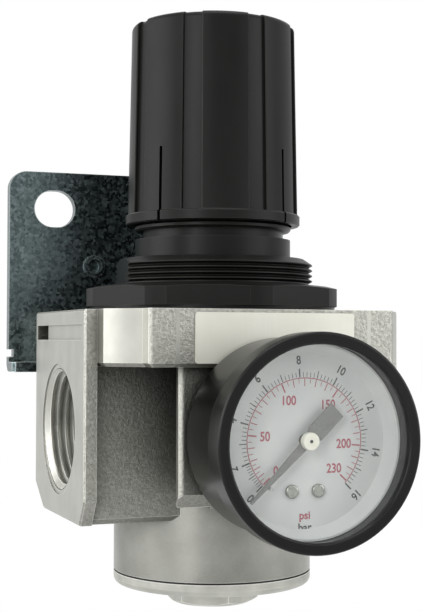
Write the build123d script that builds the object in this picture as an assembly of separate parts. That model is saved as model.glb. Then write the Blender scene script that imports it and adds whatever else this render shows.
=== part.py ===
from build123d import *
import math
import os

# Air pressure regulator with a back-entry gauge and a wall bracket, in millimetres.
# Origin: where the two port axes cross the vertical axis of the regulator.
# +Z runs up towards the knob, -Y towards the gauge, and the ports lie along X.

# ---------------------------------------------------------------- clearances
run_gap = 0.06          # radial gap of a shaft in its hole
fit_gap = 0.05          # radial gap of a screwed or pushed-in piece
slide_gap = 0.3         # gap beside lugs and other guided faces
end_gap = 0.1           # gap at each end of a spring
bottom_gap = 1.0        # room below a screwed-in piece
past = 1.0              # how far a cutting shape runs past what it cuts

# ---------------------------------------------------------------- body
port_face_x = 45.25     # half of the port-to-port length
flange_t = 3.45
flange_y = 27.0         # half width of a port flange
body_top_z = 32.4
body_floor_z = -23.75   # underside of the port duct
flange_chamfer_z = -17.0
flange_front_foot_y = 22.5
flange_rear_foot_y = 17.0
flange_edge = 0.5
band_bottom_z = 17.7
band_r = 53.0
band_chamfer = 1.0
pad_y = 45.9            # front and rear pads of the band
pad_x = 34.0
pad_edge = 1.3
duct_y = 22.0           # half width of the duct between the flanges
duct_chamfer = 1.5
boss_x = 24.7           # gauge boss, front and rear
boss_plate_t = 3.5      # the boss is a plate on a narrower neck
boss_neck_x = 15.0
boss_y = 42.0
boss_bottom_z = -18.5
boss_fillet = 1.4
boss_foot = 4.0
barrel_r = 28.0
seam_z = -40.0
flange_slot_depth = 0.8  # shallow slot across each flange face
flange_slot_z = (24.4, 28.5)
flange_slot_y = (-24.5, 25.0)
flange_pocket_depth = 3.2
flange_pocket_y = 15.0
port_r = 16.62          # major radius of a G1 thread
port_depth = 17.0
spot_r = 17.9           # shallow spot face round each port
spot_depth = 0.3
port_chamfer = 0.18
duct_bore_r = 12.0
inlet_bore_z = -2.5
outlet_bore_z = -1.0
chamber_wall = 2.0
lower_chamber_r = 20.0
lower_chamber_top_z = -8.0
seat_bore_r = 9.5
upper_chamber_r = 13.0
upper_chamber_z = (-2.0, 10.0)
passage_y = 9.0         # half width of the inlet and outlet passages
inlet_passage_x = (-24.0, -12.0)
inlet_passage_z = (-20.0, -8.5)
outlet_passage_x = (8.0, 24.0)
cap_bore_r = 22.0
cap_bore_top_z = -30.0
stem_r = 3.0
stem_seal_r = 5.0
stem_seal_z = (11.0, 13.0)
sense_r = 1.4           # sensing hole from the outlet to the diaphragm
sense_x = 9.5
diaphragm_floor_z = 14.0
diaphragm_chamber_r = 26.0
bonnet_bore_r = 31.5
diaphragm_rim_z = 22.4
rubber_t = 2.0

# ---------------------------------------------------------------- gauge connections
gauge_z = 0.3
quarter_thread_r = 6.58  # major radius of a G1/4 thread
quarter_depth = 12.0
gauge_feed_r = 1.9
plug_key = 6.0          # across flats
plug_key_depth = 6.0

# ---------------------------------------------------------------- bonnet
register_r = 35.0
hex_bottom_z = 33.8
wrench_flat = 35.0      # half of the 70 mm across the eight flats
wrench_r = 36.7
wrench_turn = 0.0       # corners face front, back and sides
wrench_side_top_z = 38.5
wrench_cone_r = 33.5
wrench_cone_z = 39.5
thread_bottom_z = 40.2
thread_top_z = 47.5
thread_r = 28.6
thread_root_r = 27.5
thread_pitch = 1.5
thread_crest = 0.25
thread_rise = 0.6
thread_count = 4
thread_crest_z = 45.9
thread_lead_r = 26.2
thread_flat_turn = 173.0
thread_flat = 26.3      # one flat, towards the inlet
neck_r = 22.3
neck_top_z = 53.0
undercut_r = 20.0
bead_z = (55.4, 57.1)
bead_r = 22.4
bead_edge = 0.5
housing_r = 19.5
housing_top_z = 97.5
housing_wall_top = 3.0
spring_bore_r = 16.2
spigot_bore_r = 25.0
spigot_bore_top_z = 37.0
spring_bore_start_z = 46.0
lug_slot_r = 18.6
lug_w = 5.0
lug_slot_bottom_z = 70.0

# ---------------------------------------------------------------- adjusting parts
spindle_r = 5.0
spindle_bottom_z = 70.0
collar_r = 9.0
collar_t = 2.0
washer_t = 1.0
clip_t = 0.8
clip_r = 7.0
clip_groove_r = 4.2
spindle_hex = 8.5       # across flats
spindle_top_z = 108.0
hex_start_z = 99.0
nut_r = 15.4
nut_t = 6.5
nut_lug_r = 18.2
nut_hub_r = 8.0
nut_hub_drop = 4.0
nut_gap = 0.5
main_spring_r = 12.6
main_wire_r = 1.6
main_coils = 7

# ---------------------------------------------------------------- knob
knob_bottom_z = 57.1
knob_ring_top_z = 60.1
knob_ring_r = 25.0
knob_low_r = 24.4
knob_high_r = 23.4
knob_top_z = 114.3
knob_dome = 0.8
knob_edge = 1.5
groove_cut = 1.0
groove_count = 8
groove_deg = 13.0
groove_phase = -34.6    # measured from -Y towards +X
slit_w = 1.0
slit_count = 4
slit_top_z = 77.6
slit_phase = -57.0
knob_bore_r = 21.0
skirt_bore_r = 22.8
skirt_bore_top_z = 61.6
knob_roof = 3.0
knob_hub_r = 9.0
knob_hub_bottom_z = 103.5
socket_top_z = 112.4
socket_gap = 0.1
knob_soft = 0.35

# ---------------------------------------------------------------- diaphragm and valve
plate_r = 17.0
plate_t = 2.0
hub_r = 6.0
hub_bottom_z = 18.0
relief_r = 1.5
seat_plate_r = 18.5
spring_pilot_r = 10.3
spring_pilot_h = 2.5
fold_r = (19.0, 25.6)
fold_drop = 3.4
fold_t = 1.5
seat_ring_bore = 7.5
seat_lip = 1.5
poppet_r = 11.5
poppet_t = 3.5
seal_t = 2.0
seal_bore_r = 6.0
guide_r = 6.0
guide_bottom_z = -30.0
guide_tube_r = 9.0
guide_tube_top_z = -22.0
guide_bore_bottom_z = -33.5
guide_ring_z = (-28.5, -26.5)
guide_ring_r = 7.6
valve_spring_r = 10.4
valve_wire_r = 0.7
valve_coils = 4

# ---------------------------------------------------------------- bottom cap
cap_seal_t = 0.5
cap_seal_r = (23.0, 27.5)
cap_t = 3.4
cap_edge = 1.6
spigot_top_z = -32.0
cap_hex = 23.0          # across flats
cap_hex_h = 5.6
cap_hex_chamfer = 1.1

# ---------------------------------------------------------------- gauge
washer_r = 9.0
gauge_washer_t = 1.0
shank = 14.0            # square of the gauge stem
case_back_y = -47.5
case_r = 24.9
case_wall = 1.0
case_front_y = -70.4
case_bead_r = 0.35
case_bead_y = -63.6
bezel_r = 26.3
bezel_back_y = -66.3
bezel_front_y = -73.35
bezel_bore_r = 23.3
bezel_lip_y = -71.9
bezel_edge = 1.1
window_r = 24.6
dial_y = -63.2          # printed face
dial_t = 0.6
dial_flat_r = 21.3
dial_rim_r = 23.2
dial_rim_y = -67.5
dial_rim_out_r = 23.7
dial_hole_r = 1.6
dial_screw_x = 3.5
dial_screw_z = -12.2    # from the gauge axis
dial_screw_r = 1.7
dial_screw_h = 0.9
dial_screw_shank_r = 0.8
zero_deg = -134.0       # pointer at rest, clockwise from straight up
stop_deg = -138.6
stop_radius = 14.8
stop_r = 0.45
pointer_y = -65.2
pointer_t = 0.4
pointer_tip = 20.8
pointer_tip_w = 0.7
pointer_neck_w = 2.4
pointer_tail = 10.6
pointer_tail_w = 4.6
pointer_tail_start = 2.6
pointer_hub_r = 2.15
pointer_hub_y = -67.2
pointer_hub_edge = 0.27
arbor_r = 0.6
arbor_tip_r = 0.4
arbor_back_y = -56.2
movement_front_y = -60.6
movement_back_y = -57.0
movement_plate_t = 0.9
movement_x = 10.5
movement_z = (-15.0, 4.5)
pillar_r = 1.0
pillars = ((-8.5, -12.8), (9.2, -13.8), (-9.0, 3.0))
sector_pivot = (8.5, -8.5)
sector_ratio = 9
pinion_teeth = 8
gear_y = (-59.7, -58.5)
gear_gap = 0.03
tooth_depth = 0.35
sector_span = (97.5, 142.5)
sector_hub_r = 1.8
sector_arm = 3.0
bourdon_r = 17.6
bourdon_section = (1.4, 2.6)
bourdon_y = -53.0
bourdon_turn = 255
bar_x = 4.0
bar_z = (-19.4, 5.0)
bar_y = (-56.0, -50.0)
bar_neck_r = 4.0

# ---------------------------------------------------------------- label plate
label_x = 22.0
label_z = (18.6, 31.5)
label_t = 0.3
label_corner = 0.8

# ---------------------------------------------------------------- wall bracket
bracket_t = 3.0
bracket_x = (-49.5, 42.5)
bracket_top_z = 76.6
bracket_leg_top_z = 17.6
bracket_leg = 6.0
bracket_corner = 5.5
bracket_toe = 1.0
slot_x = 31.65          # from the bracket's middle
slot_z = 65.2
slot_length = 12.9
slot_w = 11.4
formed_x = 19.1         # from the bracket's middle
formed_z = 47.5
formed_r = 3.35
formed_hole_r = 2.25
formed_h = 1.5
formed_floor = 0.8      # the pressed sockets are closed behind
notch_w = 1.5
notch_z = (19.2, 21.4)
bracket_screw_x = 22.0
bracket_screw_z = 25.0
screw_r = 3.0
screw_head_r = 5.9
screw_depth = 12.0
screw_key = 4.0         # across flats
screw_key_depth = 1.5

# ---------------------------------------------------------------- derived places
bonnet_bottom_z = diaphragm_rim_z + rubber_t
housing_inner_top_z = housing_top_z - housing_wall_top
collar_top_z = housing_inner_top_z - washer_t
collar_bottom_z = collar_top_z - collar_t
nut_top_z = collar_bottom_z - nut_gap
nut_bottom_z = nut_top_z - nut_t
spring_seat_z = bonnet_bottom_z + plate_t
seat_lip_z = lower_chamber_top_z - seat_lip
cap_top_z = seam_z - cap_seal_t
cap_bottom_z = cap_top_z - cap_t
poppet_top_z = seat_lip_z - seal_t
poppet_bottom_z = poppet_top_z - poppet_t
knob_cavity_top_z = knob_top_z - knob_roof

UP = (Align.CENTER, Align.CENTER, Align.MIN)


# ---------------------------------------------------------------- shape helpers
def rod(radius, z0, z1):
    """Round bar along Z."""
    return Pos(0, 0, z0) * Cylinder(radius, z1 - z0, align=UP)


def tube(outer, inner, z0, z1):
    return rod(outer, z0, z1) - rod(inner, z0, z1)


def rod_x(radius, x0, x1, z=0.0):
    low = min(x0, x1)
    return Pos(low, 0, z) * Rot(0, 90, 0) * Cylinder(radius, abs(x1 - x0), align=UP)


def rod_y(radius, y0, y1, x=0.0, z=0.0):
    low = min(y0, y1)
    return Pos(x, low, z) * Rot(-90, 0, 0) * Cylinder(radius, abs(y1 - y0), align=UP)


def block(x, y, z):
    """Box from three (low, high) pairs."""
    size = [high - low for low, high in (x, y, z)]
    middle = [(high + low) / 2 for low, high in (x, y, z)]
    return Pos(*middle) * Box(*size)


def turned(points):
    """Solid turned about Z from (radius, z) points."""
    outline = Plane.XZ * Polyline(*points, close=True)
    return revolve(make_face(outline), Axis.Z)


def turned_y(points):
    """Solid turned about the gauge axis from (radius, y) points."""
    solid = revolve(make_face(Polyline(*points, close=True)), Axis.Y)
    return Pos(0, 0, gauge_z) * solid


def hexagon(across_flats, z0, z1, turn=0.0):
    """Hexagonal bar along Z, with flats facing -Y and +Y when turn is 0."""
    shape = RegularPolygon(across_flats / 2, 6, major_radius=False, rotation=turn)
    return extrude(Pos(0, 0, z0) * shape, z1 - z0)


def spring(mean_r, wire_r, coils, z0, z1):
    """Round-wire compression spring between two seats."""
    low = z0 + wire_r + end_gap
    height = z1 - z0 - 2 * (wire_r + end_gap)
    path = Pos(0, 0, low) * Helix(height / coils, height, mean_r)
    start = path @ 0
    section = Plane(origin=start, z_dir=path % 0) * Circle(wire_r)
    return sweep(section, path=path, is_frenet=True)


def hex_key(across_flats, depth):
    """Hexagon socket that runs from the origin towards -Y."""
    shape = RegularPolygon(across_flats / 2, 6, major_radius=False)
    return extrude(Plane.XZ * shape, depth)


def towards(azimuth, radius):
    """X and Y of a point at an azimuth measured from -Y towards +X."""
    angle = math.radians(azimuth)
    return radius * math.sin(angle), -radius * math.cos(angle)


# ---------------------------------------------------------------- body
def flange(side):
    points = (
        (flange_y, body_top_z),
        (flange_y, flange_chamfer_z),
        (flange_rear_foot_y, body_floor_z),
        (-flange_front_foot_y, body_floor_z),
        (-flange_y, flange_chamfer_z),
        (-flange_y, body_top_z),
    )
    outline = make_face(Plane.YZ * Polyline(*points, close=True))
    plate = Pos(port_face_x - flange_t, 0, 0) * extrude(outline, flange_t, dir=(1, 0, 0))
    plate = chamfer(plate.faces().sort_by(Axis.X)[-1].edges(), flange_edge)
    return plate if side > 0 else mirror(plate, Plane.YZ)


def band():
    """Round chamber cut off at the flanges, with a flat pad in front and behind."""
    half = port_face_x - flange_t
    height = body_top_z - band_bottom_z
    ring = extrude(Pos(0, 0, band_bottom_z) * (Circle(band_r) & Rectangle(2 * half, 2 * pad_y)), height)
    pads = extrude(Pos(0, 0, band_bottom_z) * Rectangle(2 * pad_x, 2 * pad_y), height)
    pads = fillet(pads.edges().filter_by(Axis.Z), pad_edge)
    return undercut(ring) + undercut(pads)


def undercut(solid):
    """Chamfer along the lower edge of the band."""
    return chamfer(solid.edges().group_by(Axis.Z)[0], band_chamfer)


def duct():
    half = port_face_x - flange_t
    solid = block((-half, half), (-duct_y, duct_y), (body_floor_z, band_bottom_z + band_chamfer))
    lower = solid.edges().filter_by(Axis.X).group_by(Axis.Z)[0]
    return chamfer(lower, duct_chamfer)


def gauge_boss():
    """Front and rear gauge boss: a plate with rounded sides on a narrower neck."""
    height = (boss_bottom_z, band_bottom_z + band_chamfer)
    outside = block((-boss_x, boss_x), (-boss_y, boss_y), height)
    feet = outside.edges().group_by(Axis.Z)[0]
    outside = chamfer(feet.filter_by(Axis.X), boss_foot)
    solid = block((-boss_neck_x, boss_neck_x), (-boss_y, boss_y), height)
    for side in (-1, 1):
        depth = sorted((side * boss_y, side * (boss_y - boss_plate_t)))
        plate = block((-boss_x, boss_x), depth, height)
        solid += fillet(plate.edges().filter_by(Axis.Z), boss_fillet)
    return solid & outside


def make_body():
    solid = band() + duct() + gauge_boss() + rod(barrel_r, seam_z, band_bottom_z)
    for side in (-1, 1):
        solid += flange(side)
        face = side * port_face_x
        slot = sorted((face, face - side * flange_slot_depth))
        pocket = sorted((face, face - side * flange_pocket_depth))
        solid -= block(slot, flange_slot_y, flange_slot_z)
        solid -= block(pocket, (flange_pocket_y, flange_slot_y[1]), flange_slot_z)
        solid -= rod_x(port_r, face, face - side * port_depth)
        seat = face - side * spot_depth
        solid -= rod_x(spot_r, face, seat)
        mouth = Cone(port_r, port_r + port_chamfer, port_chamfer, align=UP)
        solid -= Pos(seat - side * port_chamfer, 0, 0) * Rot(0, side * 90, 0) * mouth
        pilot = rod_y(screw_r, pad_y - screw_depth, pad_y, side * bracket_screw_x, bracket_screw_z)
        solid -= pilot
    port_end = port_face_x - port_depth
    solid -= rod_x(duct_bore_r, -port_end, -lower_chamber_r, inlet_bore_z)
    solid -= block(inlet_passage_x, (-passage_y, passage_y), inlet_passage_z)
    solid -= rod_x(duct_bore_r, lower_chamber_r + chamber_wall, port_end, outlet_bore_z)
    solid -= block(outlet_passage_x, (-passage_y, passage_y), upper_chamber_z)
    solid -= rod(lower_chamber_r, seam_z, lower_chamber_top_z)
    solid -= rod(cap_bore_r, seam_z, cap_bore_top_z)
    solid -= rod(seat_bore_r, lower_chamber_top_z, upper_chamber_z[0])
    solid -= rod(upper_chamber_r, *upper_chamber_z)
    solid -= rod(stem_r + run_gap, upper_chamber_z[1], diaphragm_floor_z)
    solid -= rod(stem_seal_r, *stem_seal_z)
    solid -= Pos(sense_x, 0, 0) * rod(sense_r, upper_chamber_z[1], diaphragm_floor_z)
    solid -= rod(diaphragm_chamber_r, diaphragm_floor_z, diaphragm_rim_z)
    solid -= rod(bonnet_bore_r, diaphragm_rim_z, body_top_z)
    for side in (-1, 1):
        solid -= rod_y(quarter_thread_r, side * (boss_y - quarter_depth), side * boss_y, 0, gauge_z)
    solid -= rod_y(gauge_feed_r, -boss_y + quarter_depth, 0, 0, gauge_z)
    return solid


def make_label_plate():
    height = label_z[1] - label_z[0]
    shape = RectangleRounded(2 * label_x, height, label_corner)
    middle = (label_z[0] + label_z[1]) / 2
    return extrude(Plane.XZ * Pos(0, middle) * shape, label_t).moved(Pos(0, -pad_y, 0))


# ---------------------------------------------------------------- bonnet
def wrench_ring():
    shape = Circle(wrench_r) & RegularPolygon(wrench_flat, 8, major_radius=False, rotation=wrench_turn)
    prism = extrude(Pos(0, 0, hex_bottom_z) * shape, thread_bottom_z - hex_bottom_z)
    cone = turned((
        (0, hex_bottom_z),
        (wrench_r + past, hex_bottom_z),
        (wrench_r + past, wrench_side_top_z),
        (wrench_cone_r, wrench_cone_z),
        (thread_root_r, thread_bottom_z),
        (0, thread_bottom_z),
    ))
    return prism & cone


def thread_points():
    """Outline of the panel thread from its foot up, as ring grooves at the thread pitch."""
    points = [(thread_root_r, thread_bottom_z)]
    for index in reversed(range(thread_count)):
        top = thread_crest_z - index * thread_pitch
        points.append((thread_root_r, top - thread_crest - thread_rise))
        points.append((thread_r, top - thread_crest))
        points.append((thread_r, top))
        if index:
            points.append((thread_root_r, top + thread_rise))
    return points


def make_bonnet():
    outline = [
        (0, bonnet_bottom_z),
        (bonnet_bore_r - fit_gap, bonnet_bottom_z),
        (bonnet_bore_r - fit_gap, body_top_z),
        (register_r, body_top_z),
        (register_r, hex_bottom_z),
        (thread_root_r, hex_bottom_z),
    ]
    outline += thread_points()
    outline += [
        (thread_lead_r, thread_top_z),
        (neck_r, thread_top_z),
        (neck_r, neck_top_z),
        (undercut_r, neck_top_z),
        (undercut_r, bead_z[0]),
        (bead_r - bead_edge, bead_z[0]),
        (bead_r, bead_z[0] + bead_edge),
        (bead_r, bead_z[1] - bead_edge),
        (bead_r - bead_edge, bead_z[1]),
        (housing_r, bead_z[1]),
        (housing_r, housing_top_z),
        (0, housing_top_z),
    ]
    solid = turned(outline) + wrench_ring()
    bore = turned((
        (0, bonnet_bottom_z),
        (spigot_bore_r, bonnet_bottom_z),
        (spigot_bore_r, spigot_bore_top_z),
        (spring_bore_r, spring_bore_start_z),
        (spring_bore_r, housing_inner_top_z),
        (0, housing_inner_top_z),
    ))
    solid -= bore
    solid -= rod(spindle_r + run_gap, housing_inner_top_z, housing_top_z)
    slot = lug_w / 2 + slide_gap
    solid -= block((-lug_slot_r, lug_slot_r), (-slot, slot), (lug_slot_bottom_z, housing_inner_top_z))
    outer = thread_r + past
    away = block((thread_flat, outer), (-outer, outer), (thread_bottom_z, thread_top_z))
    return solid - Rot(0, 0, thread_flat_turn) * away


# ---------------------------------------------------------------- adjusting parts
def make_thrust_washer():
    return tube(collar_r, spindle_r + slide_gap, collar_top_z, housing_inner_top_z)


def make_spindle():
    solid = rod(spindle_r, spindle_bottom_z, hex_start_z)
    solid += rod(collar_r, collar_bottom_z, collar_top_z)
    solid += hexagon(spindle_hex, hex_start_z, spindle_top_z)
    low = housing_top_z + end_gap
    return solid - tube(spindle_r + past, clip_groove_r, low, low + clip_t)


def make_spindle_clip():
    low = housing_top_z + end_gap
    ring = tube(clip_r, clip_groove_r + fit_gap, low, low + clip_t)
    mouth = block((0, clip_r), (-clip_groove_r / 2, clip_groove_r / 2), (low, low + clip_t))
    return ring - mouth


def make_spring_nut():
    solid = rod(nut_r, nut_bottom_z, nut_top_z)
    solid += block((-nut_lug_r, nut_lug_r), (-lug_w / 2, lug_w / 2), (nut_bottom_z, nut_top_z))
    solid += rod(nut_hub_r, nut_bottom_z - nut_hub_drop, nut_bottom_z)
    return solid - rod(spindle_r + run_gap, nut_bottom_z - nut_hub_drop, nut_top_z)


def make_main_spring():
    return spring(main_spring_r, main_wire_r, main_coils, spring_seat_z, nut_bottom_z)


def knob_outline(inset):
    """Tapered knob outline, drawn in by inset from the panel faces."""
    low = knob_low_r - inset
    high = knob_high_r - inset
    with BuildPart() as outline:
        with BuildSketch(Plane.XZ):
            with BuildLine():
                Polyline((0, knob_bottom_z), (low, knob_bottom_z), (high, knob_top_z - knob_edge))
                RadiusArc((high, knob_top_z - knob_edge), (high - knob_edge, knob_top_z), -knob_edge)
                Polyline((high - knob_edge, knob_top_z), (0, knob_top_z + knob_dome), (0, knob_bottom_z))
            make_face()
        revolve(axis=Axis.Z)
    return outline.part


def knob_panels():
    """Eight raised panels with softened edges, before the top is rounded."""
    height = knob_top_z + knob_dome + past - knob_bottom_z
    slope = (knob_low_r - knob_high_r) / (knob_top_z - knob_bottom_z)
    foot = Pos(0, 0, knob_bottom_z)
    cone = foot * Cone(knob_low_r, knob_low_r - slope * height, height, align=UP)
    reach = 2 * knob_ring_r     # the wedge is cut off by the cone
    half = (360 / groove_count - groove_deg) / 2
    panels = []
    for index in range(groove_count):
        middle = groove_phase + (index + 0.5) * 360 / groove_count
        corners = [(0, 0), towards(middle - half, reach), towards(middle + half, reach)]
        wedge = extrude(foot * make_face(Polyline(*corners, close=True)), height, dir=(0, 0, 1))
        panel = (Rot(0, 0, middle + 90) * cone) & wedge
        upright = panel.edges().filter_by(lambda edge: edge.length > height - past)
        sides = upright.filter_by(lambda edge: off_axis(edge) > knob_bore_r)
        panels.append(fillet(sides, knob_soft))
    return panels


def off_axis(edge):
    """Distance of an edge's middle from the vertical axis."""
    return math.hypot(edge.center().X, edge.center().Y)


def make_knob():
    outline = knob_outline(0)
    shell = knob_outline(groove_cut)
    for panel in knob_panels():
        shell += panel & outline
    shell += turned((
        (0, knob_bottom_z),
        (knob_ring_r - knob_soft, knob_bottom_z),
        (knob_ring_r, knob_bottom_z + knob_soft),
        (knob_ring_r, knob_ring_top_z - knob_soft),
        (knob_ring_r - knob_soft, knob_ring_top_z),
        (0, knob_ring_top_z),
    ))
    shell -= rod(knob_bore_r, knob_bottom_z, knob_cavity_top_z)
    shell -= rod(skirt_bore_r, knob_bottom_z, skirt_bore_top_z)
    for index in range(slit_count):
        turn = slit_phase + index * 360 / slit_count
        across = (-slit_w / 2, slit_w / 2)
        slit = block(across, (-knob_ring_r - past, -housing_r), (knob_bottom_z, slit_top_z))
        shell -= Rot(0, 0, turn) * slit
    shell += rod(knob_hub_r, knob_hub_bottom_z, knob_cavity_top_z)
    return shell - hexagon(spindle_hex + 2 * socket_gap, knob_hub_bottom_z, socket_top_z)


# ---------------------------------------------------------------- diaphragm and valve
def make_diaphragm():
    inner, outer = fold_r
    middle = (inner + outer) / 2
    top_z = bonnet_bottom_z
    with BuildPart() as rubber:
        with BuildSketch(Plane.XZ):
            with BuildLine():
                Line((hub_r, diaphragm_rim_z), (hub_r, top_z))
                Line((hub_r, top_z), (inner + fold_t, top_z))
                ThreePointArc(
                    (inner + fold_t, top_z),
                    (middle, top_z - fold_drop),
                    (outer - fold_t, top_z),
                )
                Line((outer - fold_t, top_z), (bonnet_bore_r - end_gap, top_z))
                Line((bonnet_bore_r - end_gap, top_z), (bonnet_bore_r - end_gap, diaphragm_rim_z))
                Line((bonnet_bore_r - end_gap, diaphragm_rim_z), (outer, diaphragm_rim_z))
                ThreePointArc(
                    (outer, diaphragm_rim_z),
                    (middle, top_z - fold_drop - fold_t),
                    (inner, diaphragm_rim_z),
                )
                Line((inner, diaphragm_rim_z), (hub_r, diaphragm_rim_z))
            make_face()
        revolve(axis=Axis.Z)
    return rubber.part


def make_diaphragm_seat_plate():
    solid = rod(seat_plate_r, bonnet_bottom_z, spring_seat_z)
    solid += rod(spring_pilot_r, spring_seat_z, spring_seat_z + spring_pilot_h)
    return solid - rod(hub_r, bonnet_bottom_z, spring_seat_z + spring_pilot_h)


def make_diaphragm_lower_plate():
    solid = rod(plate_r, diaphragm_rim_z - plate_t, diaphragm_rim_z)
    solid += rod(hub_r, hub_bottom_z, diaphragm_rim_z)
    solid += rod(hub_r - fit_gap, diaphragm_rim_z, spring_seat_z + spring_pilot_h)
    return solid - rod(relief_r, hub_bottom_z, spring_seat_z + spring_pilot_h)


def make_valve_seat():
    outer = seat_bore_r - fit_gap
    return tube(outer, seat_ring_bore, seat_lip_z, upper_chamber_z[0])


def make_poppet():
    solid = rod(poppet_r, poppet_bottom_z, poppet_top_z)
    solid += rod(seal_bore_r - fit_gap, poppet_top_z, seat_lip_z)
    solid += rod(stem_r, seat_lip_z, hub_bottom_z)
    solid += rod(guide_r, guide_bottom_z, poppet_bottom_z)
    return solid


def make_poppet_seal():
    return tube(poppet_r, seal_bore_r, poppet_top_z, seat_lip_z)


def make_valve_spring():
    return spring(valve_spring_r, valve_wire_r, valve_coils, spigot_top_z, poppet_bottom_z)


def make_stem_seal():
    return tube(stem_seal_r - fit_gap, stem_r + run_gap, stem_seal_z[0], stem_seal_z[1])


def make_guide_seal():
    return tube(guide_ring_r - fit_gap, guide_r + run_gap, guide_ring_z[0], guide_ring_z[1])


# ---------------------------------------------------------------- bottom cap
def make_cap_seal():
    return tube(cap_seal_r[1], cap_seal_r[0], cap_top_z, seam_z)


def make_bottom_cap():
    with BuildPart() as disc:
        with BuildSketch(Plane.XZ):
            with BuildLine():
                Polyline((0, cap_top_z), (barrel_r, cap_top_z), (barrel_r, cap_bottom_z + cap_edge))
                RadiusArc((barrel_r, cap_bottom_z + cap_edge), (barrel_r - cap_edge, cap_bottom_z), cap_edge)
                Polyline((barrel_r - cap_edge, cap_bottom_z), (0, cap_bottom_z), (0, cap_top_z))
            make_face()
        revolve(axis=Axis.Z)
    solid = disc.part + rod(cap_bore_r - fit_gap, cap_top_z, spigot_top_z)
    solid += rod(guide_tube_r, spigot_top_z, guide_tube_top_z)
    corner_r = cap_hex / math.sqrt(3)
    foot_z = cap_bottom_z - cap_hex_h
    cone = turned((
        (0, cap_bottom_z),
        (corner_r + past, cap_bottom_z),
        (corner_r + past, foot_z + cap_hex_chamfer),
        (corner_r, foot_z + cap_hex_chamfer),
        (corner_r - 2 * cap_hex_chamfer, foot_z),
        (0, foot_z),
    ))
    solid += hexagon(cap_hex, foot_z, cap_bottom_z, 30) & cone
    solid -= rod(guide_r + run_gap, guide_bore_bottom_z, guide_tube_top_z)
    return solid - rod(guide_ring_r, *guide_ring_z)


# ---------------------------------------------------------------- gauge
def gauge_point(degrees, radius):
    """X and Z on the dial, clockwise from straight up."""
    angle = math.radians(degrees)
    return radius * math.sin(angle), gauge_z + radius * math.cos(angle)


def make_gauge_socket():
    thread_end = -boss_y + quarter_depth - bottom_gap
    shoulder = -boss_y - gauge_washer_t
    solid = rod_y(quarter_thread_r - fit_gap, thread_end, shoulder, 0, gauge_z)
    half = shank / 2
    solid += block((-half, half), (case_back_y, shoulder), (gauge_z - half, gauge_z + half))
    solid += rod_y(bar_neck_r, bar_y[1], case_back_y, 0, gauge_z)
    solid += block((-bar_x, bar_x), bar_y, (gauge_z + bar_z[0], gauge_z + bar_z[1]))
    return solid - rod_y(gauge_feed_r, bar_y[1], thread_end, 0, gauge_z)


def make_gauge_washer():
    ring = rod_y(washer_r, -boss_y - gauge_washer_t, -boss_y, 0, gauge_z)
    return ring - rod_y(quarter_thread_r, -boss_y - gauge_washer_t, -boss_y, 0, gauge_z)


def make_gauge_case():
    inner = case_r - case_wall
    solid = turned_y((
        (bar_neck_r + fit_gap, case_back_y),
        (case_r - case_wall, case_back_y),
        (case_r, case_back_y - case_wall),
        (case_r, case_bead_y + case_bead_r),
        (case_r + case_bead_r, case_bead_y),
        (case_r, case_bead_y - case_bead_r),
        (case_r, case_front_y),
        (inner, case_front_y),
        (inner, case_back_y - case_wall),
        (bar_neck_r + fit_gap, case_back_y - case_wall),
    ))
    return solid


def make_gauge_bezel():
    bore = case_r + fit_gap
    solid = turned_y((
        (bore, bezel_back_y),
        (bezel_r - bezel_edge / 2, bezel_back_y),
        (bezel_r, bezel_back_y - bezel_edge / 2),
        (bezel_r, bezel_front_y),
        (bezel_bore_r, bezel_front_y),
        (bezel_bore_r, bezel_lip_y),
        (bore, bezel_lip_y),
    ))
    front = solid.edges().filter_by(GeomType.CIRCLE).group_by(Axis.Y)[0]
    return fillet(front, bezel_edge / 2)


def make_gauge_window():
    return rod_y(window_r, bezel_lip_y, case_front_y, 0, gauge_z)


def make_gauge_dial():
    solid = turned_y((
        (dial_hole_r, dial_y),
        (dial_flat_r, dial_y),
        (dial_rim_r, dial_rim_y),
        (dial_rim_out_r, dial_rim_y),
        (dial_rim_out_r, dial_rim_y + dial_t),
        (dial_rim_r + dial_t / 2, dial_rim_y + dial_t),
        (dial_flat_r + dial_t / 2, dial_y + dial_t),
        (dial_hole_r, dial_y + dial_t),
    ))
    for side in (-1, 1):
        hole = rod_y(dial_screw_shank_r, dial_y, dial_y + dial_t, side * dial_screw_x, gauge_z + dial_screw_z)
        solid -= hole
    x, z = gauge_point(stop_deg, stop_radius)
    return solid - rod_y(stop_r, dial_y, dial_y + dial_t, x, z)


def make_dial_screws():
    screws = []
    for side in (-1, 1):
        x = side * dial_screw_x
        z = gauge_z + dial_screw_z
        head = rod_y(dial_screw_r, dial_y, dial_y - dial_screw_h, x, z)
        head = fillet(head.edges().group_by(Axis.Y)[0], dial_screw_h / 2)
        shank_end = movement_front_y - movement_plate_t
        shank_part = rod_y(dial_screw_shank_r - fit_gap, shank_end, dial_y, x, z)
        screws.append(head + shank_part)
    return Compound(children=screws)


def make_pointer_stop():
    x, z = gauge_point(stop_deg, stop_radius)
    front = pointer_y - pointer_t - slide_gap
    return rod_y(stop_r - fit_gap, front, dial_y + dial_t, x, z)


def make_pointer():
    points = [
        (-pointer_neck_w / 2, 0),
        (-pointer_tip_w / 2, pointer_tip),
        (pointer_tip_w / 2, pointer_tip),
        (pointer_neck_w / 2, 0),
        (pointer_tail_w / 2, -pointer_tail_start),
        (pointer_tail_w / 2, -pointer_tail),
        (-pointer_tail_w / 2, -pointer_tail),
        (-pointer_tail_w / 2, -pointer_tail_start),
    ]
    shape = make_face(Polyline(*points, close=True)) + Circle(pointer_hub_r)
    shape -= Circle(arbor_r + fit_gap)
    blade = extrude(Plane.XZ * shape, pointer_t)
    return Pos(0, pointer_y, gauge_z) * Rot(0, zero_deg, 0) * blade


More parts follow.
